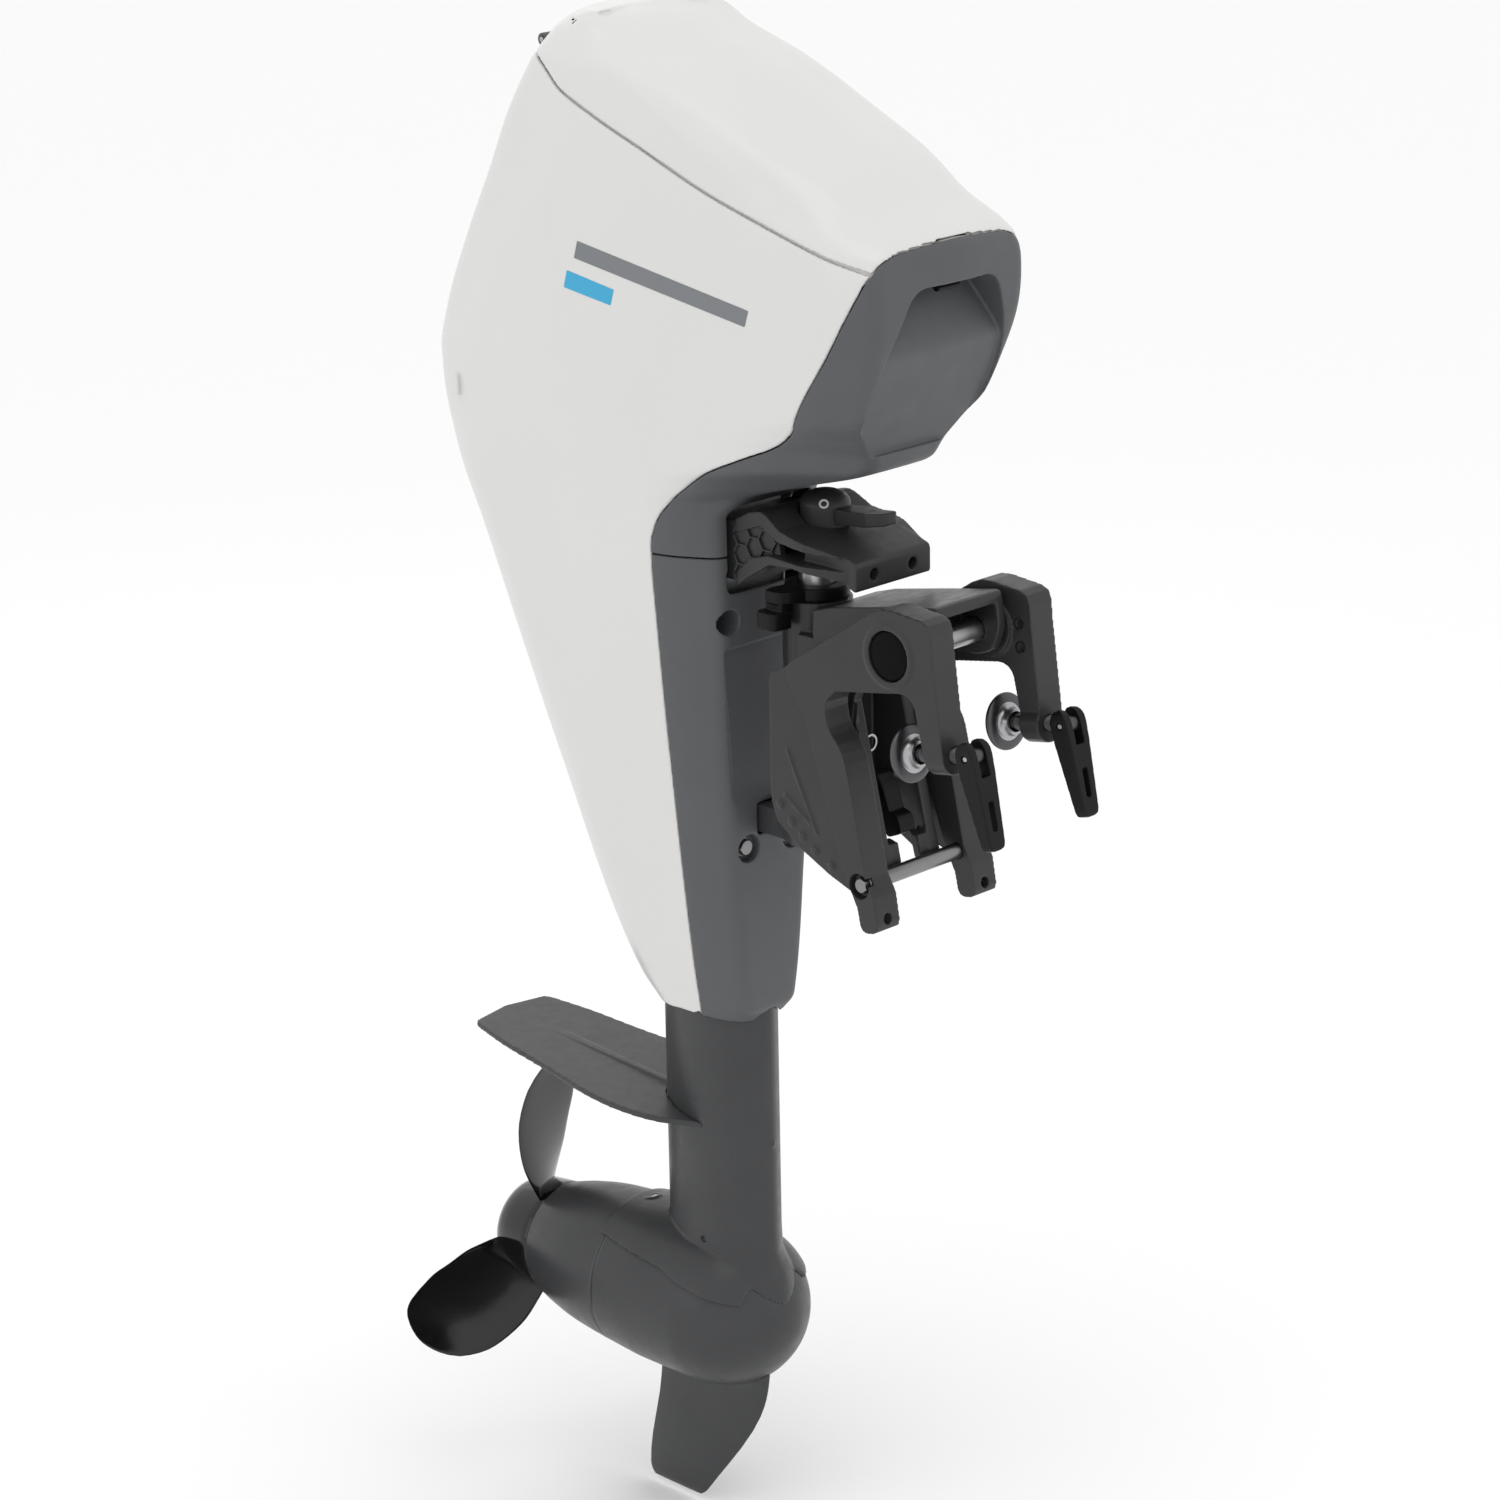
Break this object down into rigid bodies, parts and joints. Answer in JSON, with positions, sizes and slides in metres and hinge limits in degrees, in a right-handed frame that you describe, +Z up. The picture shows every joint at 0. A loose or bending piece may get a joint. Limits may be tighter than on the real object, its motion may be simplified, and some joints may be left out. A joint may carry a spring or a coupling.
{
  "type": "electric outboard motor",
  "caption": "Electric outboard motor: white cowl with hinged lid, grey covers, slim leg, motor pod with propeller and skeg, on a clamp bracket that tilts and steers.",
  "frame": {"origin": "middle of the transom's top edge at its outer face, where the clamp hooks rest and the bracket legs meet the transom", "axes": "+X port, +Y aft, +Z up along the upright drive leg"},
  "size_m": [0.2642, 0.5805, 1.194],
  "materials": {
    "cowl_white": "satin white paint on moulded plastic",
    "cover_grey": "fine-grained moulded grey plastic",
    "cast_charcoal": "satin charcoal paint on cast aluminium",
    "black_plastic": "matte glass-filled nylon",
    "propeller_black": "glossy black",
    "bright_steel": "turned stainless steel",
    "bare_aluminium": "bare cast aluminium",
    "winding_copper": "varnished copper winding",
    "black_rubber": "matte rubber"
  },
  "bodies": {
    "clamp_bracket": {"clamp_bracket_starboard": "cast_charcoal", "clamp_bracket_port": "cast_charcoal", "tilt_tube": "bright_steel", "tilt_cap_starboard": "black_plastic", "tilt_cap_port": "black_plastic", "trim_rod": "bright_steel", "trim_rod_nut_starboard": "bright_steel", "trim_rod_nut_port": "bright_steel"},
    "screw_pad_starboard": {"clamp_pad_starboard": "bright_steel"},
    "clamp_screw_starboard": {"clamp_screw_starboard": "bright_steel"},
    "clamp_handle_starboard": {"clamp_handle_starboard": "black_plastic", "handle_pin_starboard": "bright_steel"},
    "screw_pad_port": {"clamp_pad_port": "bright_steel"},
    "clamp_screw_port": {"clamp_screw_port": "bright_steel"},
    "clamp_handle_port": {"clamp_handle_port": "black_plastic", "handle_pin_port": "bright_steel"},
    "swivel_bracket": {"swivel_bracket": "black_plastic", "steering_bush_upper": "black_plastic", "steering_bush_lower": "black_plastic", "lock_pin": "bright_steel"},
    "friction_lever": {"friction_lever": "black_plastic"},
    "reverse_lock": {"reverse_lock_hook": "black_plastic"},
    "drive": {"steering_shaft": "bright_steel", "steering_yoke": "black_plastic", "lower_mount": "cast_charcoal", "drive_frame": "bare_aluminium", "chin_cover": "cover_grey", "mid_cover": "cover_grey", "side_cowl_starboard": "cowl_white", "side_cowl_port": "cowl_white", "cowl_clip_starboard": "cowl_white", "cowl_clip_port": "cowl_white", "cover_bolt_upper_starboard": "bright_steel", "cover_bolt_upper_port": "bright_steel", "cover_bolt_lower_starboard": "bright_steel", "cover_bolt_lower_port": "bright_steel", "lid_hinge": "cover_grey", "lid_hinge_pin": "bright_steel", "battery_tray": "black_plastic", "battery_pack": "cover_grey", "battery_handle": "black_plastic", "battery_connector": "black_plastic", "motor_controller": "bare_aluminium", "power_harness": "black_rubber", "leg_housing": "cast_charcoal", "anti_ventilation_plate": "cast_charcoal", "pod_nose": "cast_charcoal", "motor_housing": "cast_charcoal", "stator": "winding_copper", "front_bearing": "bright_steel", "rear_bearing": "bright_steel", "shaft_seal": "black_rubber", "skeg": "cast_charcoal"},
    "lid": {"lid": "cowl_white"},
    "lid_latch": {"lid_latch": "black_plastic"},
    "tiller_lock": {"tiller_lock_knob": "black_plastic"},
    "propeller": {"motor_shaft": "bright_steel", "rotor": "bright_steel", "propeller": "propeller_black", "propeller_nut": "bright_steel"}
  },
  "joints": [
    {"name": "tilt", "type": "hinge", "parent": "clamp_bracket", "child": "swivel_bracket", "pos_m": [0, -0.043, 0.035], "axis": [1, 0, 0], "range_deg": [0, 70]},
    {"name": "steer", "type": "hinge", "parent": "swivel_bracket", "child": "drive", "pos_m": [0, 0.087, 0], "axis": [0, 0, 1], "range_deg": [-40, 40]},
    {"name": "friction_lever_turn", "type": "hinge", "parent": "swivel_bracket", "child": "friction_lever", "pos_m": [0, 0.087, 0.047], "axis": [0, 0, 1], "range_deg": [0, 25]},
    {"name": "reverse_lock_swing", "type": "hinge", "parent": "swivel_bracket", "child": "reverse_lock", "pos_m": [0, 0.026, -0.086], "axis": [1, 0, 0], "range_deg": [0, 16], "stiffness_Nm_per_rad": 0.3},
    {"name": "clamp_travel_starboard", "type": "slide", "parent": "clamp_bracket", "child": "screw_pad_starboard", "axis": [0, 0.9848, -0.1736], "range_m": [-0.014, 0.006]},
    {"name": "clamp_turn_starboard", "type": "hinge", "parent": "screw_pad_starboard", "child": "clamp_screw_starboard", "pos_m": [-0.05, -0.10154, -0.02881], "axis": [0, 0.9848, -0.1736], "range_deg": [-2522, 1082]},
    {"name": "handle_fold_starboard", "type": "hinge", "parent": "clamp_screw_starboard", "child": "clamp_handle_starboard", "pos_m": [-0.05, -0.11041, -0.02724], "axis": [1, 0, 0], "range_deg": [-90, 8]},
    {"name": "clamp_travel_port", "type": "slide", "parent": "clamp_bracket", "child": "screw_pad_port", "axis": [0, 0.9848, -0.1736], "range_m": [-0.014, 0.006]},
    {"name": "clamp_turn_port", "type": "hinge", "parent": "screw_pad_port", "child": "clamp_screw_port", "pos_m": [0.05, -0.10154, -0.02881], "axis": [0, 0.9848, -0.1736], "range_deg": [-2522, 1082]},
    {"name": "handle_fold_port", "type": "hinge", "parent": "clamp_screw_port", "child": "clamp_handle_port", "pos_m": [0.05, -0.11041, -0.02724], "axis": [1, 0, 0], "range_deg": [-90, 8]},
    {"name": "lid_open", "type": "hinge", "parent": "drive", "child": "lid", "pos_m": [0, 0.317, 0.428], "axis": [-1, 0, 0], "range_deg": [0, 65]},
    {"name": "latch_pull", "type": "hinge", "parent": "drive", "child": "lid_latch", "pos_m": [0, -0.031, 0.3015], "axis": [-1, 0, 0], "range_deg": [0, 15], "stiffness_Nm_per_rad": 0.2},
    {"name": "tiller_lock_turn", "type": "hinge", "parent": "drive", "child": "tiller_lock", "pos_m": [0, 0.078, 0.094], "axis": [0, 0, 1], "range_deg": [0, 60]},
    {"name": "propeller_spin", "type": "hinge", "parent": "drive", "child": "propeller", "pos_m": [0, 0.3, -0.557], "axis": [0, 1, 0], "continuous": true}
  ],
  "couplings": [
    {"joint": "clamp_turn_starboard", "follows": "clamp_travel_starboard", "rad_per_m": 3141.6},
    {"joint": "clamp_turn_port", "follows": "clamp_travel_port", "rad_per_m": 3141.6}
  ]
}
